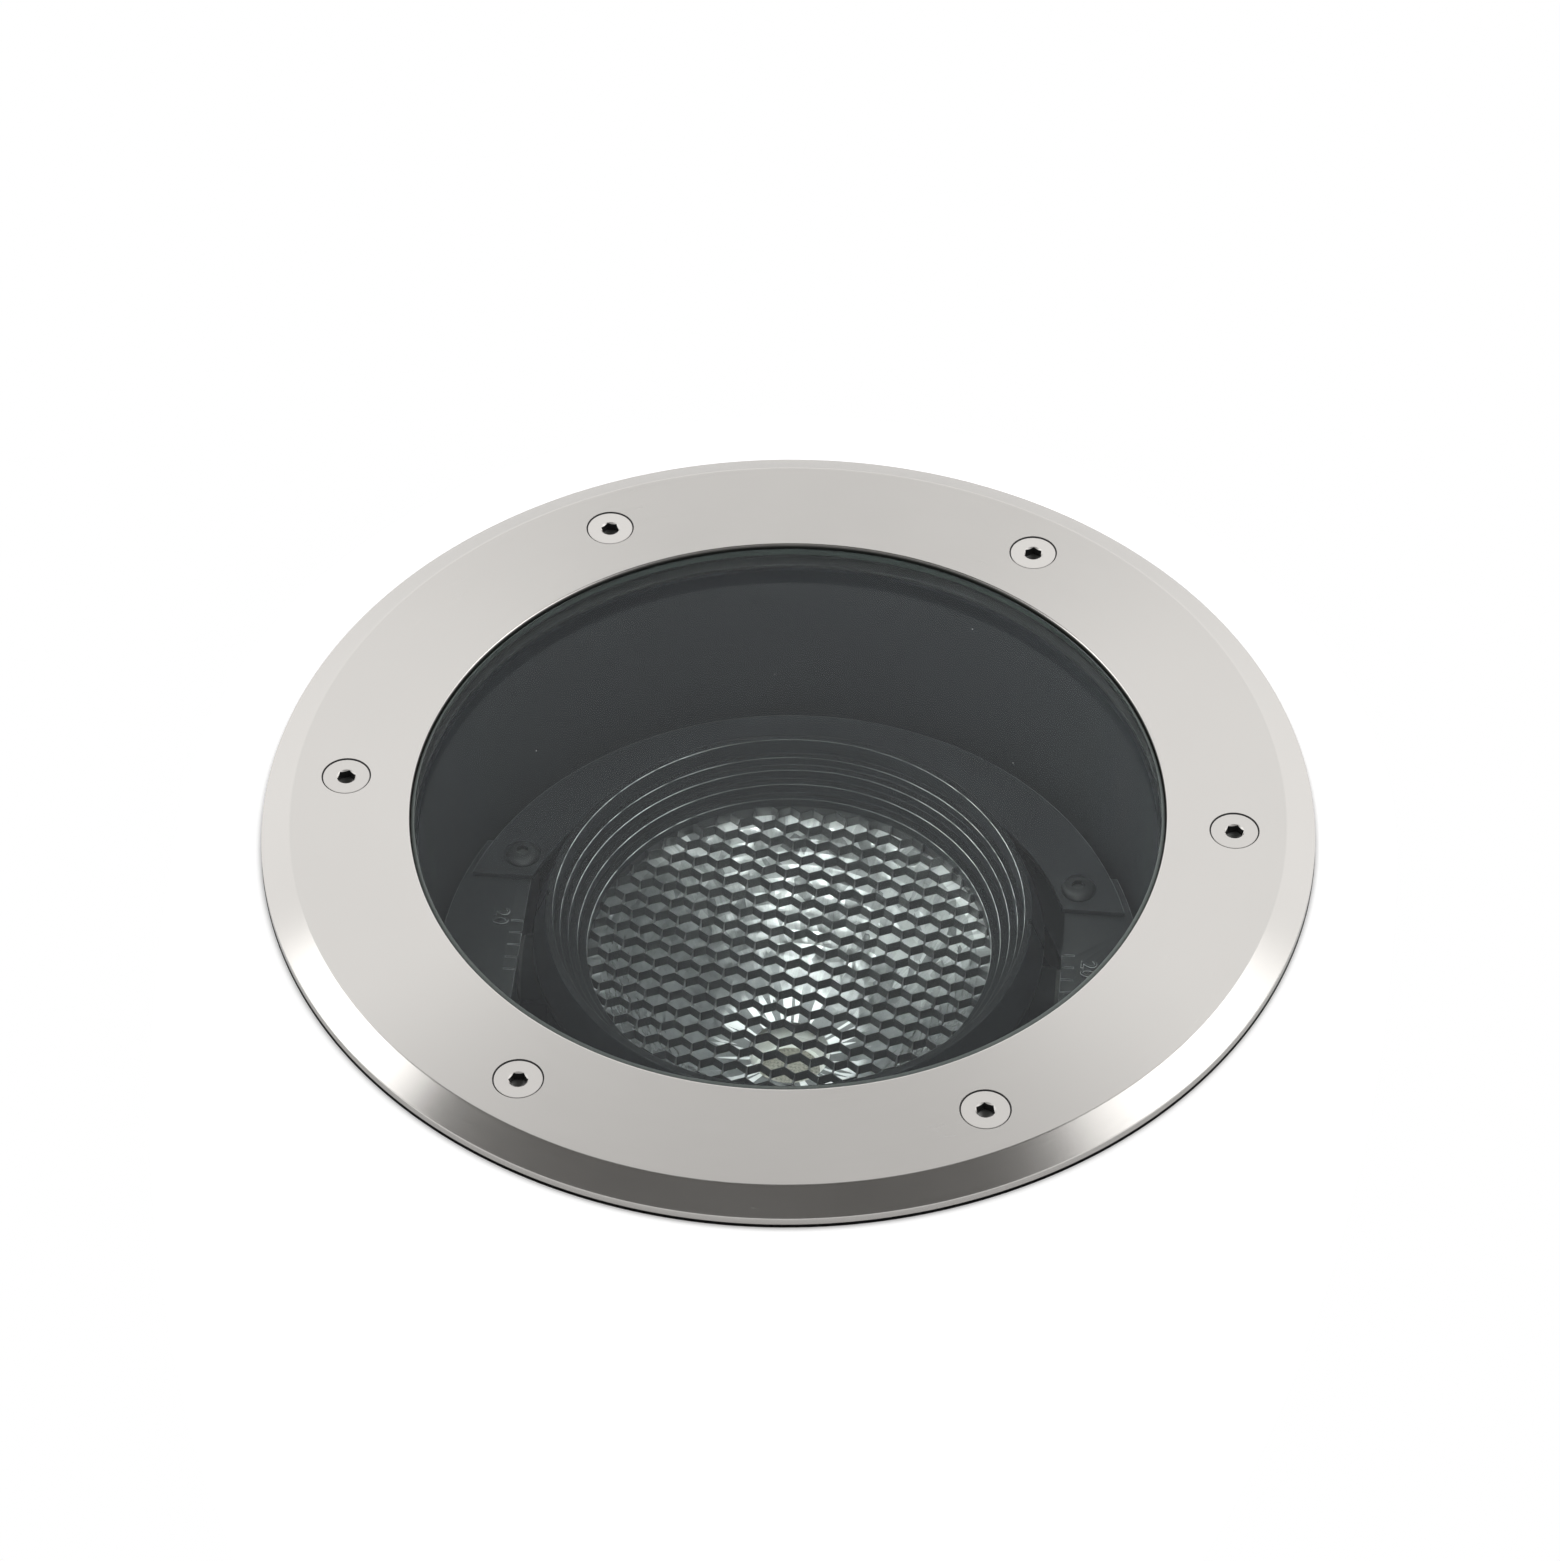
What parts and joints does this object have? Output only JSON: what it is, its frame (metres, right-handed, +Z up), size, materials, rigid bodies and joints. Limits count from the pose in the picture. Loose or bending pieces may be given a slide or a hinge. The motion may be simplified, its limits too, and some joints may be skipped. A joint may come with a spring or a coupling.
{
  "type": "recessed ground uplight",
  "caption": "Round recessed uplight: screwed bezel ring, stepped walk-over glass, deep pot, and a louvered lamp head that pans and tilts under the glass.",
  "frame": {"origin": "on the light's axis, at the underside of the bezel ring, which is the finished floor level", "axes": "+Z up out of the floor, along the pan axis; +X along the tilt axis at rest; +Y toward the cable gland"},
  "size_m": [0.26, 0.26, 0.2],
  "materials": {
    "bezel_ring": "brushed",
    "bezel_screws": "turned",
    "glass_lens": "polished, ground edge",
    "glass_gasket": "moulded silicone",
    "housing": "satin powder coat",
    "glide_ring": "low-friction plastic",
    "pan_stop_pin": "ground",
    "gland_body": "moulded",
    "gland_washer": "moulded",
    "gland_lock_nut": "moulded",
    "gland_seal": "moulded",
    "gland_cap": "moulded",
    "driver_bracket": "pressed sheet",
    "bracket_screws": "plated",
    "driver": "moulded",
    "terminal_block": "moulded",
    "terminal_screws": "plated",
    "earth_screw": "turned",
    "yoke_ring": "satin powder coat",
    "yoke_spring_ring": "spring steel",
    "yoke_cover_plate": "satin powder coat",
    "cover_plate_screws": "blackened",
    "pivot_screws": "turned",
    "friction_washers": "friction liner",
    "baffle_ring": "matt black",
    "louver": "black anodised foil",
    "reflector": "bright, faceted",
    "reflector_snap_ring": "spring steel",
    "head_shell": "satin powder coat",
    "led_module": "board with a phosphor field",
    "led_holder": "moulded",
    "led_holder_screws": "plated",
    "thermal_pad": "soft pad",
    "heat_sink": "black anodised",
    "heat_sink_screws": "plated"
  },
  "bodies": {
    "pot": {"bezel_ring": "bezel_ring", "bezel_screws": "bezel_screws", "glass_lens": "glass_lens", "glass_gasket": "glass_gasket", "housing": "housing", "glide_ring": "glide_ring", "pan_stop_pin": "pan_stop_pin", "gland_body": "gland_body", "gland_washer": "gland_washer", "gland_lock_nut": "gland_lock_nut", "gland_seal": "gland_seal", "gland_cap": "gland_cap", "driver_bracket": "driver_bracket", "bracket_screws": "bracket_screws", "driver": "driver", "terminal_block": "terminal_block", "terminal_screws": "terminal_screws", "earth_screw": "earth_screw"},
    "yoke": {"yoke_ring": "yoke_ring", "yoke_spring_ring": "yoke_spring_ring", "yoke_cover_plate": "yoke_cover_plate", "cover_plate_screws": "cover_plate_screws"},
    "head": {"baffle_ring": "baffle_ring", "louver": "louver", "reflector_snap_ring": "reflector_snap_ring", "reflector": "reflector", "head_shell": "head_shell", "pivot_screws": "pivot_screws", "friction_washers": "friction_washers", "led_module": "led_module", "led_holder": "led_holder", "led_holder_screws": "led_holder_screws", "thermal_pad": "thermal_pad", "heat_sink": "heat_sink", "heat_sink_screws": "heat_sink_screws"}
  },
  "joints": [
    {"name": "pan", "type": "hinge", "parent": "pot", "child": "yoke", "pos_m": [0, 0, -0.082], "axis": [0, 0, 1], "range_deg": [-175, 175]},
    {"name": "tilt", "type": "hinge", "parent": "yoke", "child": "head", "pos_m": [0, 0, -0.066], "axis": [1, 0, 0], "range_deg": [-20, 20]}
  ]
}
